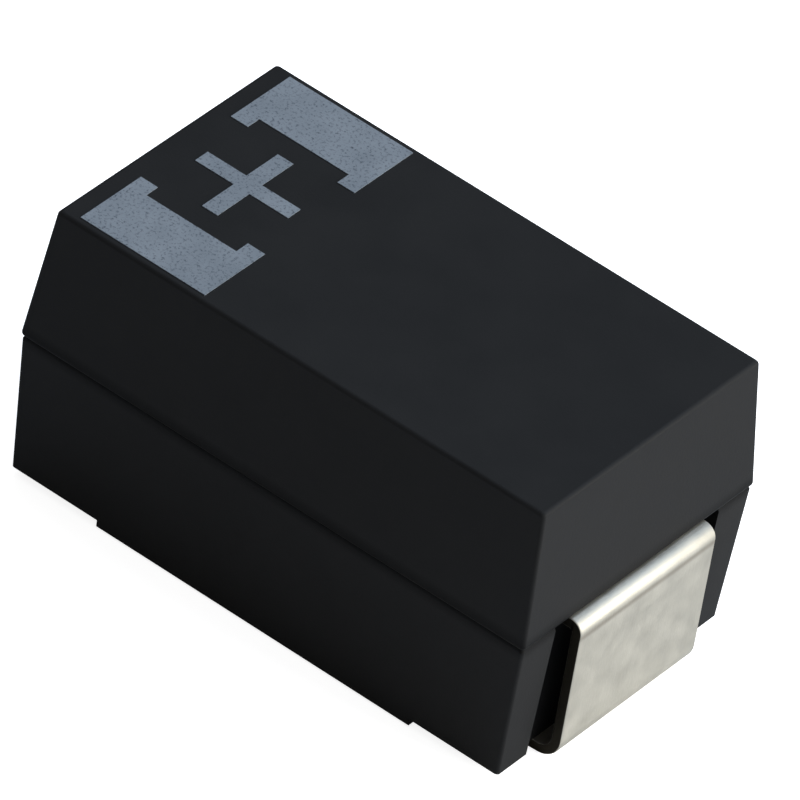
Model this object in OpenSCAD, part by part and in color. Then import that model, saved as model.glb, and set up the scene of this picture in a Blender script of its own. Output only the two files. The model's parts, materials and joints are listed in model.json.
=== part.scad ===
// Moulded tantalum chip capacitor: a drafted epoxy case over a sintered tantalum element,
// with two folded lead-frame terminals. The board it is soldered to is the plane z = 0.
// +X runs along the case to the cathode end, so the anode and its mark are at -X.

/* [Case] */
// Length of the case at the parting line
case_l = 7.1; // [6.95:0.05:7.4]
// Width of the case at the parting line
case_w = 4.1; // [3.9:0.05:4.6]
// Height of the case's top face above the board
case_top = 3.8; // [3.6:0.05:4.3]
// Height of the mould's parting line above the board
parting_z = 2.0; // [1.8:0.05:2.2]
// Gap between the case's lowest face and the board
standoff = 0.03; // [0.01:0.01:0.06]
// Draft angle of the walls above the parting line
upper_draft = 4.5; // [2:0.5:6]
// Draft angle of the walls below the parting line
lower_draft = 2.3; // [1:0.1:4]
// Step from the upper half in to the lower half at the parting line
ledge = 0.03; // [0.01:0.01:0.06]
// Radius of the upright corners at the parting line
corner_r = 0.24; // [0.2:0.02:0.5]
// Radius round the top face
top_edge_r = 0.08; // [0.03:0.01:0.1]
// Radius round the bottom of the lower half
bottom_edge_r = 0.12; // [0.04:0.01:0.15]
// Radius along the two long sides of the underside pad
pad_edge_r = 0.03; // [0.01:0.01:0.05]

/* [Room for the terminals] */
// Room between a foot's inner end and the underside pad
foot_play = 0.15; // [0.05:0.05:0.5]
// Depth of the channel behind each upright lead, from the parting line's edge
channel_d = 0.2; // [0.1:0.05:0.3]
// Room on each side of a lead in its channel
channel_play = 0.25; // [0.05:0.05:0.4]

/* [Terminals] */
// Width of each terminal
lead_w = 2.4; // [2.2:0.05:2.6]
// Thickness of the lead frame
lead_t = 0.13; // [0.1:0.01:0.16]
// Length of each foot, from the lead's outer face
foot_l = 1.3; // [1:0.05:1.6]
// Inner radius of the bend where a lead leaves the case
exit_bend_r = 0.03; // [0.02:0.01:0.1]
// Inner radius of the bend above a foot
foot_bend_r = 0.17; // [0.05:0.01:0.25]

/* [Lead frame inside the case] */
// Width of the anode's tongue under the riser wire
tongue_w = 1.2; // [0.8:0.1:2]
// Length of the anode lead's full-width root, from the edge of the parting line
anode_root_l = 0.65; // [0.4:0.05:0.8]
// Length of the cathode lead's full-width root, from the edge of the parting line
cathode_root_l = 0.35; // [0.32:0.01:0.45]
// Width of the cathode's inner leg and paddle
paddle_w = 2; // [1.4:0.1:2.4]
// Length of the paddle under the element, from the leg's inner face
paddle_l = 2.4; // [1.5:0.1:3.2]
// Inner radius of the cathode's two inner bends
inner_bend_r = 0.15; // [0.1:0.01:0.17]

/* [Capacitor element] */
// Length of the sintered tantalum pellet
pellet_l = 4.3; // [3.5:0.05:4.45]
// Width of the pellet
pellet_w = 3.1; // [2.4:0.1:3.2]
// Height of the pellet
pellet_h = 2.5; // [1.8:0.1:2.6]
// Radius along the pellet's long edges
pellet_edge_r = 0.15; // [0.08:0.01:0.3]
// Distance from the case's anode end to the pellet's wire face
wire_room = 1.8; // [1.6:0.05:1.95]
// Diameter of the riser wire
wire_d = 0.3; // [0.2:0.02:0.4]
// Depth of the riser wire inside the pellet
wire_embed = 2.6; // [1.5:0.1:3]
// Length of the wire welded down on the tongue
weld_l = 0.6; // [0.4:0.05:0.7]
// Depth that the weld sinks the wire into the tongue
weld_sink = 0.05; // [0.02:0.01:0.06]
// Bare wire between the tongue and the washer
bare_wire = 0.3; // [0.2:0.05:0.35]
// Diameter of the insulating washer on the wire
washer_d = 0.9; // [0.7:0.05:1.2]
// Thickness of the insulating washer
washer_t = 0.2; // [0.1:0.05:0.25]

/* [Coats on the pellet] */
// Thickness of the solid electrolyte
electrolyte_t = 0.05; // [0.03:0.01:0.06]
// Thickness of the carbon coat
carbon_t = 0.02; // [0.01:0.005:0.03]
// Thickness of the silver coat
silver_t = 0.03; // [0.02:0.01:0.04]
// Bare electrolyte left at the wire end
coat_stop = 0.25; // [0.15:0.05:0.5]
// Thickness of the silver adhesive between the element and the cathode lead
adhesive_t = 0.05; // [0.03:0.01:0.08]
// Height of the adhesive up the inner leg, from the paddle
adhesive_h = 0.8; // [0.4:0.1:1]

/* [Polarity mark] */
// Thickness of the printed mark
mark_t = 0.01; // [0.005:0.005:0.02]
// Room between the top face's flat anode end and the bars
mark_end_margin = 0.18; // [0.05:0.01:0.6]
// Room between each long side of the flat top face and its bar
mark_side_margin = 0.02; // [0.01:0.01:0.3]
// Length of each bar
bar_l = 1.76; // [1:0.02:2]
// Distance between the two bars
bar_gap = 1.96; // [1.8:0.02:2.4]
// Length of the foot at each end of a bar
serif_l = 0.24; // [0.1:0.02:0.4]
// Reach of each foot towards the plus sign
serif_w = 0.2; // [0.05:0.01:0.25]
// Span of the plus sign
plus_span = 1.32; // [0.8:0.02:1.4]
// Width of the plus sign's arms
plus_arm = 0.22; // [0.1:0.02:0.3]

/* [Hidden] */
$fn = 64;

end_x = case_l / 2;
side_y = case_w / 2;
pocket_z = lead_t;                                  // ceiling of the pocket over each foot
face_x = end_x + exit_bend_r + lead_t;              // outer face of each upright lead
pad_x = face_x - foot_l - foot_play;                // half length of the underside pad
root_z = parting_z - lead_t;                        // underside of each lead where it leaves
wire_z = parting_z + wire_d / 2 - weld_sink;        // axis of the wire and the pellet
pellet_x = wire_room - end_x;                       // the pellet's wire face
washer_x = pellet_x - washer_t;
tongue_x = washer_x - bare_wire;                    // inner end of the anode's tongue
all_coats = electrolyte_t + carbon_t + silver_t;
leg_x = pellet_x + pellet_l + all_coats + adhesive_t;        // the cathode leg's inner face
paddle_z = wire_z - pellet_h / 2 - all_coats - adhesive_t;   // the paddle's top face

// The case's walls, measured from the edge of the parting line, which is 0, inwards
top_out = (parting_z - case_top) * tan(upper_draft);
low_out = -ledge - (parting_z - pocket_z) * tan(lower_draft);
top_share = tan((90 - upper_draft) / 2);            // tangent length of a round edge over its radius
low_share = tan((90 - lower_draft) / 2);
top_r = min(top_edge_r, 0.95 * (corner_r + top_out) / top_share);
low_r = min(bottom_edge_r, 0.95 * (corner_r + low_out) / low_share);
top_run = top_r * top_share;
low_run = low_r * low_share;
seam_out = low_out + low_run * sin(lower_draft);    // where the wall meets the lower round edge
seam_z = pocket_z + low_run * cos(lower_draft);

flat_x = end_x + top_out - top_run;                 // half length of the flat top face
flat_y = side_y + top_out - top_run;                // half width of the flat top face
mark_x = mark_end_margin + bar_l / 2 - flat_x;      // centre of the polarity mark
bar_w = flat_y - mark_side_margin - bar_gap / 2;

// Half of the case's side view, from its middle out to `half` at the parting line: drafted
// both ways, with round edges at the top and at the bottom of the lower half. It is drawn
// from the parting line's edge inwards, so every wall and corner has the same outline.
module wall_profile(half) {
    translate([half, 0]) {
        polygon([
            [-half, pocket_z],
            [low_out - low_run, pocket_z],
            [seam_out, seam_z],
            [-ledge, parting_z],
            [0, parting_z],
            [top_out + top_run * sin(upper_draft), case_top - top_run * cos(upper_draft)],
            [top_out - top_run, case_top],
            [-half, case_top]]);
        translate([top_out - top_run, case_top - top_r]) circle(top_r);
        translate([low_out - low_run, pocket_z + low_r]) circle(low_r);
    }
}

module both_sides() {
    children();
    mirror([1, 0]) children();
}

// The outside of the case down to the pocket ceiling: the wall profile is run along both
// directions and swung round the four upright corners.
module drafted_block() {
    straight_x = end_x - corner_r;
    straight_y = side_y - corner_r;
    rotate([90, 0, 0]) linear_extrude(2 * straight_y, center = true)
        both_sides() wall_profile(end_x);
    rotate([90, 0, 90]) linear_extrude(2 * straight_x, center = true)
        both_sides() wall_profile(side_y);
    for (sx = [-1, 1], sy = [-1, 1])
        translate([sx * straight_x, sy * straight_y, 0])
            rotate_extrude() intersection() {
                wall_profile(corner_r);
                square([corner_r, case_top]);
            }
}

// The part of the underside that stands lower than the pockets over the feet. Its two long
// sides carry the draft of the lower half on down.
module underside_pad() {
    out = -ledge - (parting_z - standoff) * tan(lower_draft);
    run = pad_edge_r * tan((90 - lower_draft) / 2);
    rotate([90, 0, 90]) linear_extrude(2 * pad_x, center = true)
        both_sides() translate([side_y, 0]) {
            polygon([
                [-side_y, standoff],
                [out - run, standoff],
                [out + run * sin(lower_draft), standoff + run * cos(lower_draft)],
                [seam_out, seam_z],
                [-side_y, seam_z]]);
            translate([out - run, standoff + pad_edge_r]) circle(pad_edge_r);
        }
}

// Channel in the lower half of one end, behind the upright lead
module lead_channel() {
    width = lead_w + 2 * channel_play;
    translate([end_x - channel_d, -width / 2, 0])
        cube([2 * channel_d, width, parting_z]);
}

module case_block() {
    difference() {
        union() {
            drafted_block();
            underside_pad();
        }
        lead_channel();
        mirror([1, 0, 0]) lead_channel();
    }
}

// Quarter bend of the lead frame in side view. The centre of the bend is the origin and the
// bend covers the quadrant that sx and sz point into.
module quarter_bend(inner_r, sx, sz) {
    outer_r = inner_r + lead_t;
    intersection() {
        difference() {
            circle(outer_r);
            circle(inner_r);
        }
        scale([sx, sz]) square(outer_r);
    }
}

// Side view of a terminal outside the case: root, bend down, upright, bend under and foot.
// root_x is where the strip's flat root ends inside the case.
module outer_fold(root_x) {
    exit_x = end_x;
    upright_low = foot_bend_r + lead_t;
    translate([root_x, root_z]) square([exit_x - root_x, lead_t]);
    translate([exit_x, root_z - exit_bend_r]) quarter_bend(exit_bend_r, 1, 1);
    translate([face_x - lead_t, upright_low])
        square([lead_t, root_z - exit_bend_r - upright_low]);
    translate([face_x - lead_t - foot_bend_r, upright_low])
        quarter_bend(foot_bend_r, 1, -1);
    translate([face_x - foot_l, 0])
        square([foot_l - lead_t - foot_bend_r, lead_t]);
}

// Side view of the cathode lead inside the case: a bend down, the leg beside the element's
// end, a bend under it and the paddle.
module inner_fold() {
    outer_r = inner_bend_r + lead_t;
    translate([leg_x + outer_r, parting_z - outer_r]) quarter_bend(inner_bend_r, -1, 1);
    translate([leg_x, paddle_z + inner_bend_r])
        square([lead_t, parting_z - outer_r - paddle_z - inner_bend_r]);
    translate([leg_x - inner_bend_r, paddle_z + inner_bend_r])
        quarter_bend(inner_bend_r, 1, -1);
    translate([leg_x - paddle_l, paddle_z - lead_t])
        square([paddle_l - inner_bend_r, lead_t]);
}

module strip(width) {
    rotate([90, 0, 0]) linear_extrude(width, center = true) children();
}

module wire_bar(x_from, x_to) {
    translate([x_from, 0, wire_z]) rotate([0, 90, 0]) cylinder(h = x_to - x_from, d = wire_d);
}

module anode_terminal() color([0.76, 0.75, 0.72]) {
    root_x = anode_root_l - end_x;
    difference() {
        union() {
            mirror([1, 0, 0]) strip(lead_w) outer_fold(-root_x);
            translate([root_x, -tongue_w / 2, root_z])
                cube([tongue_x - root_x, tongue_w, lead_t]);
        }
        wire_bar(tongue_x - weld_l, tongue_x + wire_d);
    }
}

module cathode_terminal() color([0.76, 0.75, 0.72]) {
    root_x = end_x - cathode_root_l;
    inner_x = leg_x + inner_bend_r + lead_t;
    strip(lead_w) outer_fold(root_x);
    strip(paddle_w) inner_fold();
    translate([inner_x, -paddle_w / 2, root_z]) cube([root_x - inner_x, paddle_w, lead_t]);
}

module riser_wire() color([0.55, 0.55, 0.58]) {
    wire_bar(tongue_x - weld_l, pellet_x + wire_embed);
}

module wire_washer() color([0.93, 0.93, 0.9]) {
    difference() {
        translate([washer_x, 0, wire_z]) rotate([0, 90, 0])
            cylinder(h = washer_t, d = washer_d);
        wire_bar(washer_x - wire_d, pellet_x + wire_d);
    }
}

// The pellet grown by `grow` on its four long sides, between two stations along X
module element_block(x_from, x_to, grow) {
    width = pellet_w + 2 * grow;
    height = pellet_h + 2 * grow;
    r = pellet_edge_r + grow;
    translate([x_from, 0, wire_z]) rotate([90, 0, 90]) linear_extrude(x_to - x_from) {
        square([width - 2 * r, height], center = true);
        square([width, height - 2 * r], center = true);
        for (sx = [-1, 1], sy = [-1, 1])
            translate([sx * (width / 2 - r), sy * (height / 2 - r)]) circle(r);
    }
}

module pellet_body() {
    element_block(pellet_x, pellet_x + pellet_l, 0);
}

module electrolyte_body() {
    element_block(pellet_x - electrolyte_t, pellet_x + pellet_l + electrolyte_t, electrolyte_t);
}

module carbon_body() {
    grow = electrolyte_t + carbon_t;
    element_block(pellet_x + coat_stop, pellet_x + pellet_l + grow, grow);
}

module silver_body() {
    element_block(pellet_x + 1.5 * coat_stop, pellet_x + pellet_l + all_coats, all_coats);
}

module tantalum_pellet() color([0.32, 0.33, 0.36]) {
    difference() {
        pellet_body();
        wire_bar(pellet_x - wire_d, pellet_x + wire_embed);
    }
}

module electrolyte_coat() color([0.1, 0.1, 0.11]) {
    difference() {
        electrolyte_body();
        pellet_body();
        translate([pellet_x - 2 * electrolyte_t, 0, wire_z]) rotate([0, 90, 0])
            cylinder(h = 3 * electrolyte_t, d = washer_d);
    }
}

module carbon_coat() color([0.16, 0.16, 0.17]) {
    difference() {
        carbon_body();
        electrolyte_body();
    }
}

module silver_coat() color([0.8, 0.8, 0.78]) {
    difference() {
        silver_body();
        carbon_body();
        electrolyte_body();
    }
}

// Fills the L-shaped gap between the silver coat and the cathode lead
module silver_adhesive() color([0.7, 0.7, 0.69]) {
    bead_l = paddle_l - 2 * lead_t;
    bead_w = paddle_w - 2 * lead_t;
    difference() {
        translate([leg_x - bead_l, -bead_w / 2, paddle_z]) cube([bead_l, bead_w, adhesive_h]);
        silver_body();
        cathode_terminal();
    }
}

// Case moulded round everything that lies inside it
module moulded_case() color([0.09, 0.1, 0.12]) {
    difference() {
        case_block();
        anode_terminal();
        cathode_terminal();
        riser_wire();
        wire_washer();
        electrolyte_body();
        carbon_body();
        silver_body();
        silver_adhesive();
    }
}

// One bar of the mark, its length along X and its two feet reaching towards -Y
module mark_bar() {
    translate([-bar_l / 2, bar_gap / 2]) square([bar_l, bar_w]);
    for (x = [-bar_l / 2, bar_l / 2 - serif_l])
        translate([x, bar_gap / 2 - serif_w]) square([serif_l, serif_w + bar_w]);
}

module polarity_mark() color([0.55, 0.6, 0.67]) {
    translate([mark_x, 0, case_top]) linear_extrude(mark_t) {
        mark_bar();
        mirror([0, 1]) mark_bar();
        square([plus_span, plus_arm], center = true);
        square([plus_arm, plus_span], center = true);
    }
}

moulded_case();
anode_terminal();
cathode_terminal();
tantalum_pellet();
riser_wire();
wire_washer();
electrolyte_coat();
carbon_coat();
silver_coat();
silver_adhesive();
polarity_mark();
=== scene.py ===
"""Looks of a moulded tantalum chip capacitor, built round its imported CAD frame.

Lengths in this file are in millimetres where a name ends in _mm and in metres elsewhere.
The part lies along X with its anode and polarity mark at -X, and stands on z = 0.
"""
import json
import math

import bpy
from mathutils import Matrix, Vector


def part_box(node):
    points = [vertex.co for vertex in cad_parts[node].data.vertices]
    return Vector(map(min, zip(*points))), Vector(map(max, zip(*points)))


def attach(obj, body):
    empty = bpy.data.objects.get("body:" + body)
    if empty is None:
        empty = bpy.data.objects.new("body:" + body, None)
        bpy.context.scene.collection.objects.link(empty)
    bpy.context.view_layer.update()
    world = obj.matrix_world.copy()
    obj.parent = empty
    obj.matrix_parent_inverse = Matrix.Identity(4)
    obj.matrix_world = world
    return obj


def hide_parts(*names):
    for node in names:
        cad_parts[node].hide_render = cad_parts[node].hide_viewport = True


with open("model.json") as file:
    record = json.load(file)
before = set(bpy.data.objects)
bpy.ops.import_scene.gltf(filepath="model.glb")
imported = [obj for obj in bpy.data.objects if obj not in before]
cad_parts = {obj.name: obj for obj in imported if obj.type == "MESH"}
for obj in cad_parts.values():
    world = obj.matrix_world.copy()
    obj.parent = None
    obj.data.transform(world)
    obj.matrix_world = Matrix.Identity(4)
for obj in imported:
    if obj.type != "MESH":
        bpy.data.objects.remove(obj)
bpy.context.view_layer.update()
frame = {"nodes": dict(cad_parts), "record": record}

MM = 0.001
NODES = frame["nodes"]


# ---------------------------------------------------------------- sizes of the visible shapes

PARTING_Z_MM = 2.0       # height of the mould's parting line
STANDOFF_MM = 0.03       # lowest face of the case
UPPER_DRAFT = 4.5        # draft of the walls above and below the parting line, in degrees
LOWER_DRAFT = 2.3
LEDGE_MM = 0.015         # step in to the lower half at the parting line
LIP_Z_MM = 0.005         # the step starts and ends this far below the parting line
LEDGE_Z_MM = 0.03
CORNER_R_MM = 0.045      # upright corners
LEAST_R_MM = 0.012       # what is left of a corner at the rim of the top face
TOP_R_MM = 0.055         # round edge of the top face
SKIRT_R_MM = 0.07        # round edge under the upper half, turned under by SKIRT_TURN degrees
SKIRT_TURN = 60
BOTTOM_R_MM = 0.02       # round edge of the lowest face
ARC_STEPS = 8
POCKET_X_MM = 2.22       # a pocket over each foot starts here and is this high
POCKET_Z_MM = 0.13
CHANNEL_D_MM = 0.2       # channel behind each upright lead
CHANNEL_W_MM = 2.9
PARTING_SHADE_UP_MM = 0.03     # middle of the band of painted shade along the mould joint, above the parting line
BEND_REFLECTION_Z_MM = 1.81     # painted dark reflection in a line across each lead, below its upper bend
STAMPED_EDGE_R_MM = 0.015
WELD_MM = 0.0004         # points of a CAD mesh that are this close are one
BEVEL_STEPS = 3
BEVEL_ANGLE = 50         # edges sharper than this are bevelled on a terminal, in degrees
CREASE_ANGLE = 40        # edges sharper than this stay sharp on the case, in degrees


# ---------------------------------------------------------------- node graph helpers

class Graph:
    """A material's node tree, with short calls to add nodes and to wire them."""

    def __init__(self, name):
        self.material = bpy.data.materials.new(name)
        self.material.use_nodes = True
        self.tree = self.material.node_tree
        self.shader = self.tree.nodes["Principled BSDF"]

    def add(self, kind, inputs=None, **settings):
        node = self.tree.nodes.new(kind)
        for key, value in settings.items():
            setattr(node, key, value)
        for key, value in (inputs or {}).items():
            self.wire(value, node.inputs[key])
        return node

    def wire(self, value, socket):
        if isinstance(value, bpy.types.NodeSocket):
            self.tree.links.new(value, socket)
        else:
            socket.default_value = value

    def shade(self, **inputs):
        for key, value in inputs.items():
            self.wire(value, self.shader.inputs[key.replace("_", " ")])

    def millimetres(self, stretch=(1, 1, 1)):
        """Object coordinates in millimetres, stretched along each axis."""
        place = self.add("ShaderNodeTexCoord").outputs["Object"]
        scale = [axis / MM for axis in stretch]
        return self.add("ShaderNodeMapping", {"Vector": place, "Scale": scale}).outputs["Vector"]

    def noise(self, place, scale, detail=4.0, roughness=0.55):
        inputs = {"Vector": place, "Scale": scale, "Detail": detail, "Roughness": roughness}
        return self.add("ShaderNodeTexNoise", inputs).outputs["Fac"]

    def cells(self, place, scale):
        inputs = {"Vector": place, "Scale": scale}
        return self.add("ShaderNodeTexVoronoi", inputs).outputs["Distance"]

    def span(self, value, low, high, to_low=0.0, to_high=1.0):
        """Maps low..high of a value to to_low..to_high, and clamps it there."""
        inputs = {"Value": value, "From Min": low, "From Max": high,
                  "To Min": to_low, "To Max": to_high}
        return self.add("ShaderNodeMapRange", inputs).outputs["Result"]

    def math(self, operation, a, b=0.0):
        return self.add("ShaderNodeMath", {0: a, 1: b}, operation=operation).outputs[0]

    def mix(self, share, first, second):
        node = self.add("ShaderNodeMix", {"Factor": share}, data_type="RGBA")
        self.wire(first, node.inputs["A"])
        self.wire(second, node.inputs["B"])
        return node.outputs["Result"]

    def bump(self, height, depth_mm, strength=1.0, under=None):
        inputs = {"Height": height, "Distance": depth_mm * MM, "Strength": strength}
        if under is not None:
            inputs["Normal"] = under
        return self.add("ShaderNodeBump", inputs).outputs["Normal"]


def rgb(red, green, blue):
    return (red, green, blue, 1.0)


# ---------------------------------------------------------------- materials

def case_epoxy():
    """Black filled epoxy with its mould's fine grain and a band of painted shade along the mould
    joint.
    """
    g = Graph("case_epoxy")
    place = g.millimetres()
    clouds = g.noise(place, 1.1, 5.0)
    grain = g.noise(place, 26.0, 3.0, 0.6)
    tone = g.mix(g.span(clouds, 0.35, 0.65), rgb(0.0120, 0.0120, 0.0121), rgb(0.0150, 0.0150, 0.0151))
    filler = g.span(g.cells(place, 14.0), 0.10, 0.04)
    tone = g.mix(g.math("MULTIPLY", filler, 0.14), tone, rgb(0.050, 0.050, 0.052))
    height = g.add("ShaderNodeSeparateXYZ", {"Vector": place}).outputs["Z"]
    off_line = g.math("ABSOLUTE", g.math("SUBTRACT", height, PARTING_Z_MM + PARTING_SHADE_UP_MM))
    # painted shade: a dark band round the case at the parting line, standing in for the shade under
    # the upper half's rounded edge
    parting_shade = g.span(off_line, 0.03, 0.17, 0.80, 0.0)
    tone = g.mix(parting_shade, tone, rgb(0.0020, 0.0020, 0.0020))
    relief = g.bump(grain, 0.003, 0.5)
    g.shade(Base_Color=tone, Roughness=g.span(clouds, 0.3, 0.7, 0.56, 0.66), IOR=1.2,
            Normal=relief)
    return g.material


def tinned_lead():
    """Matte tin plating with a painted dark reflection in a line below the upper bend, and stamped
    edges darkened as bare cut metal and as painted shade.
    """
    g = Graph("tinned_lead")
    place = g.millimetres()
    patches = g.noise(place, 3.0, 5.0, 0.6)
    grain = g.cells(place, 24.0)
    rolled = g.noise(g.millimetres((1.0, 9.0, 1.0)), 5.0, 3.0)
    tin = g.mix(g.span(patches, 0.3, 0.7), rgb(0.43, 0.405, 0.345), rgb(0.52, 0.495, 0.43))
    across = g.add("ShaderNodeSeparateXYZ",
                   {"Vector": g.add("ShaderNodeNewGeometry").outputs["True Normal"]}).outputs["Y"]
    # stamped edges facing along Y go near black: partly the bare cut metal, partly painted shade
    bare_edge_and_shade = g.span(g.math("ABSOLUTE", across), 0.80, 0.97)
    height = g.add("ShaderNodeSeparateXYZ", {"Vector": place}).outputs["Z"]
    off_bend = g.math("ABSOLUTE", g.math("SUBTRACT", height, BEND_REFLECTION_Z_MM))
    # painted reflection: darkens a line across the lead just below its upper bend
    tin = g.mix(g.span(off_bend, 0.01, 0.06, 0.55, 0.0), tin, rgb(0.22, 0.19, 0.15))
    tone = g.mix(bare_edge_and_shade, tin, rgb(0.030, 0.026, 0.019))
    relief = g.bump(grain, 0.003, 0.3)
    relief = g.bump(rolled, 0.004, 0.35, relief)
    g.shade(Base_Color=tone, Metallic=1.0, Normal=relief,
            Roughness=g.span(patches, 0.3, 0.7, 0.50, 0.62))
    return g.material


def mark_ink():
    """Pale blue-grey print, worn through to the case in fine specks."""
    g = Graph("mark_ink")
    place = g.millimetres()
    specks = g.noise(place, 26.0, 4.0, 0.7)
    drift = g.noise(place, 2.2, 3.0)
    ink = g.mix(g.span(drift, 0.3, 0.7), rgb(0.175, 0.200, 0.226), rgb(0.215, 0.242, 0.270))
    tone = g.mix(g.span(specks, 0.52, 0.70), ink, rgb(0.055, 0.065, 0.080))
    g.shade(Base_Color=tone, Roughness=0.7, IOR=1.2, Normal=g.bump(specks, 0.004, 0.4))
    return g.material


def grainy(name, dark, light, scale, roughness, metallic=0.0, depth_mm=0.006):
    """A mottled, grainy finish for the pieces sealed inside the case."""
    g = Graph(name)
    place = g.millimetres()
    mottle = g.noise(place, scale, 5.0, 0.65)
    tone = g.mix(g.span(mottle, 0.35, 0.65), rgb(*dark), rgb(*light))
    g.shade(Base_Color=tone, Metallic=metallic,
            Roughness=g.span(mottle, 0.3, 0.7, roughness - 0.06, roughness + 0.06),
            Normal=g.bump(g.noise(place, 6 * scale), depth_mm, 0.7))
    return g.material


def slot_materials():
    return {
        "case_epoxy": case_epoxy(),
        "tinned_lead": tinned_lead(),
        "mark_ink": mark_ink(),
        "sintered_tantalum": grainy("sintered_tantalum", (0.10, 0.10, 0.12), (0.17, 0.17, 0.20),
                                    5.0, 0.7, 0.6, 0.012),
        "tantalum_wire": grainy("tantalum_wire", (0.40, 0.40, 0.44), (0.50, 0.50, 0.54),
                                4.0, 0.38, 1.0, 0.002),
        "washer_fluoropolymer": grainy("washer_fluoropolymer", (0.72, 0.72, 0.70),
                                       (0.80, 0.80, 0.78), 3.0, 0.45, 0.0, 0.002),
        "solid_electrolyte": grainy("solid_electrolyte", (0.012, 0.012, 0.013),
                                    (0.03, 0.03, 0.032), 6.0, 0.6, 0.0, 0.01),
        "carbon_paint": grainy("carbon_paint", (0.02, 0.02, 0.021), (0.04, 0.04, 0.041),
                               5.0, 0.65),
        "silver_paint": grainy("silver_paint", (0.50, 0.50, 0.48), (0.62, 0.62, 0.60),
                               5.0, 0.5, 0.7),
        "silver_glue": grainy("silver_glue", (0.42, 0.42, 0.41), (0.52, 0.52, 0.50),
                              4.0, 0.45, 0.6),
    }


def dress_nodes(materials):
    """Gives every CAD node the material of its slot."""
    slots = {part["node"]: part["material_slot"] for part in frame["record"]["subparts"]}
    for name, piece in NODES.items():
        piece.data.materials.clear()
        piece.data.materials.append(materials[slots[name]])


def soften_terminals():
    """Joins the split points of both terminals' meshes and bevels the stamped edges a little."""
    for name in ("anode_terminal", "cathode_terminal"):
        terminal = NODES[name]
        weld = terminal.modifiers.new("weld", "WELD")
        weld.merge_threshold = WELD_MM * MM
        bevel = terminal.modifiers.new("bevel", "BEVEL")
        bevel.width = STAMPED_EDGE_R_MM * MM
        bevel.segments = BEVEL_STEPS
        bevel.limit_method = "ANGLE"
        bevel.angle_limit = math.radians(BEVEL_ANGLE)
        bevel.harden_normals = True


# ---------------------------------------------------------------- the moulded case's skin

def arc(centre, radius, start, stop):
    """Points (out, z) of an arc between two angles, in degrees from straight out."""
    points = []
    for step in range(ARC_STEPS + 1):
        turn = math.radians(start + (stop - start) * step / ARC_STEPS)
        points.append((centre[0] + radius * math.cos(turn), centre[1] + radius * math.sin(turn)))
    return points


def wall_levels(top_z):
    """Points (out, z) down a wall; `out` is measured from the edge of the parting line."""
    upper = math.tan(math.radians(UPPER_DRAFT))
    lower = math.tan(math.radians(LOWER_DRAFT))
    top_out = -(top_z - PARTING_Z_MM) * upper
    low_out = -LEDGE_MM - (PARTING_Z_MM - STANDOFF_MM) * lower
    top = (top_out - TOP_R_MM + TOP_R_MM * upper, top_z - TOP_R_MM)
    skirt = (-SKIRT_R_MM, PARTING_Z_MM + SKIRT_R_MM)
    foot = (low_out - BOTTOM_R_MM, STANDOFF_MM + BOTTOM_R_MM)
    return (arc(top, TOP_R_MM, 90, UPPER_DRAFT) + arc(skirt, SKIRT_R_MM, UPPER_DRAFT, -SKIRT_TURN)
            + [(-LEDGE_MM - SKIRT_R_MM / 4, PARTING_Z_MM - LIP_Z_MM)]
            + [(-LEDGE_MM, PARTING_Z_MM - LEDGE_Z_MM)] + arc(foot, BOTTOM_R_MM, -LOWER_DRAFT, -90))


def rounded_rectangle(half_x, half_y, radius, z):
    """One ring of points round the case."""
    ring = []
    for corner in range(4):
        sx = 1 if corner in (0, 3) else -1
        sy = 1 if corner in (0, 1) else -1
        for step in range(ARC_STEPS + 1):
            turn = math.radians(90 * (corner + step / ARC_STEPS))
            ring.append(Vector((sx * (half_x - radius) + radius * math.cos(turn),
                                sy * (half_y - radius) + radius * math.sin(turn), z)) * MM)
    return ring


def add_object(name, mesh):
    piece = bpy.data.objects.new(name, mesh)
    bpy.context.scene.collection.objects.link(piece)
    return piece


def stacked_rings(name, rings):
    """Closed mesh through a stack of rings with as many points each."""
    count = len(rings[0])
    faces = [list(range(count)), [count * len(rings) - 1 - i for i in range(count)]]
    for level in range(len(rings) - 1):
        for i in range(count):
            j = (i + 1) % count
            faces.append([count * level + i, count * (level + 1) + i,
                          count * (level + 1) + j, count * level + j])
    mesh = bpy.data.meshes.new(name)
    mesh.from_pydata([point for ring in rings for point in ring], [], faces)
    return mesh


def box_mesh(name, low, high):
    """Box between two corners in millimetres."""
    rings = [[Vector(p) * MM for p in ((high[0], high[1], z), (low[0], high[1], z),
                                       (low[0], low[1], z), (high[0], low[1], z))]
             for z in (high[2], low[2])]
    return stacked_rings(name, rings)


def cut_box(piece, low, high):
    """Cuts a box out of a piece for good."""
    cutter = add_object("cutter", box_mesh("cutter", low, high))
    cut = piece.modifiers.new("cut", "BOOLEAN")
    cut.operation = "DIFFERENCE"
    cut.solver = "EXACT"
    cut.object = cutter
    seen = piece.evaluated_get(bpy.context.evaluated_depsgraph_get())
    mesh = bpy.data.meshes.new_from_object(seen)
    piece.modifiers.clear()
    piece.data = mesh
    bpy.data.objects.remove(cutter)


def corner_radius(out, top_z):
    """Radius of the upright corners at one level; it shrinks along the rim of the top face."""
    top_out = -(top_z - PARTING_Z_MM) * math.tan(math.radians(UPPER_DRAFT))
    return max(CORNER_R_MM + min(0.0, out + TOP_R_MM - top_out), LEAST_R_MM)


def cut_end(skin, half, side):
    """Cuts the pocket over the foot and the channel behind the lead at one end."""
    pocket = sorted((side * POCKET_X_MM, side * 2 * half.x))
    channel = sorted((side * (half.x - CHANNEL_D_MM), side * 2 * half.x))
    below = -1
    cut_box(skin, (pocket[0], -2 * half.y, below), (pocket[1], 2 * half.y, POCKET_Z_MM))
    cut_box(skin, (channel[0], -CHANNEL_W_MM / 2, below),
            (channel[1], CHANNEL_W_MM / 2, PARTING_Z_MM))


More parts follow.
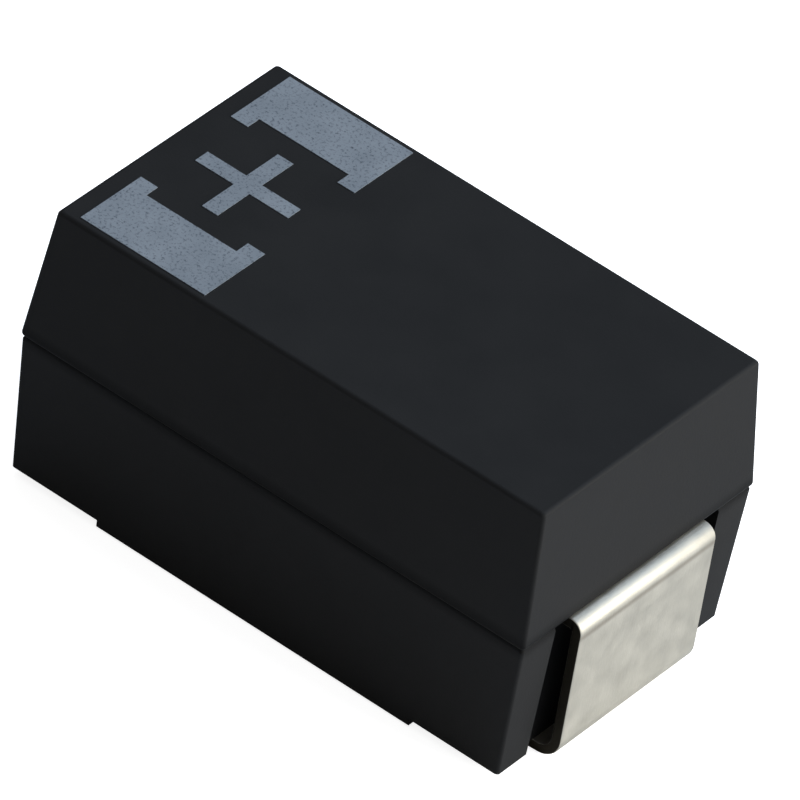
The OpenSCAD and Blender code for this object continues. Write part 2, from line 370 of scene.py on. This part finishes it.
def make_case_skin(epoxy):
    """The case as it shows, with crisper corners than the solid and a rounded skirt."""
    half = Vector(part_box("moulded_case")[1]) / MM
    rings = [rounded_rectangle(half.x + out, half.y + out, corner_radius(out, half.z), z)
             for out, z in wall_levels(half.z)]
    skin = add_object("case_skin", stacked_rings("case_skin", rings))
    for side in (-1, 1):
        cut_end(skin, half, side)
    skin.data.materials.clear()
    skin.data.materials.append(epoxy)
    skin.data.shade_smooth()
    skin.data.set_sharp_from_angle(angle=math.radians(CREASE_ANGLE))
    normals = skin.modifiers.new("normals", "WEIGHTED_NORMAL")
    normals.keep_sharp = True
    normals.weight = 100
    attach(skin, "root")
    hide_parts("moulded_case")


# ---------------------------------------------------------------- camera, light and floor

AIM_MM = Vector((0.031, 0.188, 2.072))
VIEW_AZIMUTH = 32.32
VIEW_ELEVATION = 39.54
VIEW_ROLL = 10.10
VIEW_DISTANCE_MM = 150.0
LENS_MM = 617.0


def towards(azimuth, elevation):
    """Unit vector from the part towards a place; azimuth 0 is in front, at -Y."""
    a = math.radians(azimuth)
    e = math.radians(elevation)
    return Vector((math.sin(a) * math.cos(e), -math.cos(a) * math.cos(e), math.sin(e)))


def make_camera():
    data = bpy.data.cameras.new("camera")
    data.lens = LENS_MM
    data.sensor_width = 36.0
    data.clip_start = 10 * MM
    data.clip_end = 10.0
    camera = bpy.data.objects.new("camera", data)
    back = towards(VIEW_AZIMUTH, VIEW_ELEVATION)
    right = Vector((0, 0, 1)).cross(back).normalized()
    up = back.cross(right)
    turn = math.radians(VIEW_ROLL)
    rolled_right = math.cos(turn) * right + math.sin(turn) * up
    rolled_up = math.cos(turn) * up - math.sin(turn) * right
    axes = Matrix((rolled_right, rolled_up, back)).transposed()
    where = (AIM_MM + VIEW_DISTANCE_MM * back) * MM
    camera.matrix_world = Matrix.Translation(where) @ axes.to_4x4()
    bpy.context.scene.collection.objects.link(camera)
    bpy.context.scene.camera = camera


def softbox(name, azimuth, elevation, distance_mm, size_mm, radiance, tint):
    """Square lamp that faces the part. Its power follows from the radiance of its face."""
    data = bpy.data.lights.new(name, "AREA")
    data.shape = "SQUARE"
    data.size = size_mm * MM
    data.energy = radiance * math.pi * data.size ** 2
    data.color = tint
    lamp = bpy.data.objects.new(name, data)
    direction = towards(azimuth, elevation)
    lamp.location = direction * distance_mm * MM
    lamp.rotation_euler = direction.to_track_quat("Z", "Y").to_euler()
    bpy.context.scene.collection.objects.link(lamp)


def make_world():
    """Soft grey surroundings for the part, white where the camera looks past it."""
    world = bpy.data.worlds.new("studio")
    bpy.context.scene.world = world
    world.use_nodes = True
    tree = world.node_tree
    tree.nodes.clear()
    rays = tree.nodes.new("ShaderNodeLightPath")
    place = tree.nodes.new("ShaderNodeTexCoord")
    split = tree.nodes.new("ShaderNodeSeparateXYZ")
    ramp = tree.nodes.new("ShaderNodeValToRGB")
    ramp.color_ramp.elements[0].position = 0.25
    ramp.color_ramp.elements[0].color = (0.10, 0.10, 0.098, 1)
    ramp.color_ramp.elements[1].position = 1.0
    ramp.color_ramp.elements[1].color = (0.45, 0.45, 0.45, 1)
    soft = tree.nodes.new("ShaderNodeBackground")
    white = tree.nodes.new("ShaderNodeBackground")
    white.inputs["Color"].default_value = (1, 1, 1, 1)
    choose = tree.nodes.new("ShaderNodeMixShader")
    out = tree.nodes.new("ShaderNodeOutputWorld")
    link = tree.links.new
    link(place.outputs["Generated"], split.inputs["Vector"])
    link(split.outputs["Z"], ramp.inputs["Fac"])
    link(ramp.outputs["Color"], soft.inputs["Color"])
    link(rays.outputs["Is Camera Ray"], choose.inputs["Fac"])
    link(soft.outputs["Background"], choose.inputs[1])
    link(white.outputs["Background"], choose.inputs[2])
    link(choose.outputs["Shader"], out.inputs["Surface"])


FLOOR_HALF_M = 1.5
FLOOR_GLOW = 0.85        # what the camera sees the floor give off, so that it reads as white


def make_floor():
    """Pale floor that the camera sees as white, with the part's soft shadow on it."""
    half = FLOOR_HALF_M
    mesh = bpy.data.meshes.new("floor")
    corners = [(-half, -half, 0), (half, -half, 0), (half, half, 0), (-half, half, 0)]
    mesh.from_pydata(corners, [], [(0, 1, 2, 3)])
    floor = bpy.data.objects.new("floor", mesh)
    bpy.context.scene.collection.objects.link(floor)
    g = Graph("floor")
    place = g.millimetres()
    tone = g.mix(g.noise(place, 0.02), rgb(0.80, 0.80, 0.80), rgb(0.82, 0.82, 0.82))
    seen = g.add("ShaderNodeLightPath").outputs["Is Camera Ray"]
    g.shade(Base_Color=tone, Roughness=0.9, IOR=1.2, Emission_Color=rgb(1, 1, 1),
            Emission_Strength=g.math("MULTIPLY", seen, FLOOR_GLOW))
    mesh.materials.append(g.material)


def make_lights():
    softbox("key_right", 115.0, 20.0, 130.0, 100.0, 7.6, (1.0, 0.995, 0.97))
    softbox("top_soft", 165.0, 58.0, 150.0, 140.0, 2.3, (0.56, 0.74, 1.0))


# ---------------------------------------------------------------- build

make_camera()
make_world()
make_floor()
make_lights()
finishes = slot_materials()
dress_nodes(finishes)
soften_terminals()
make_case_skin(finishes["case_epoxy"])

bpy.context.scene.view_settings.view_transform = "Standard"
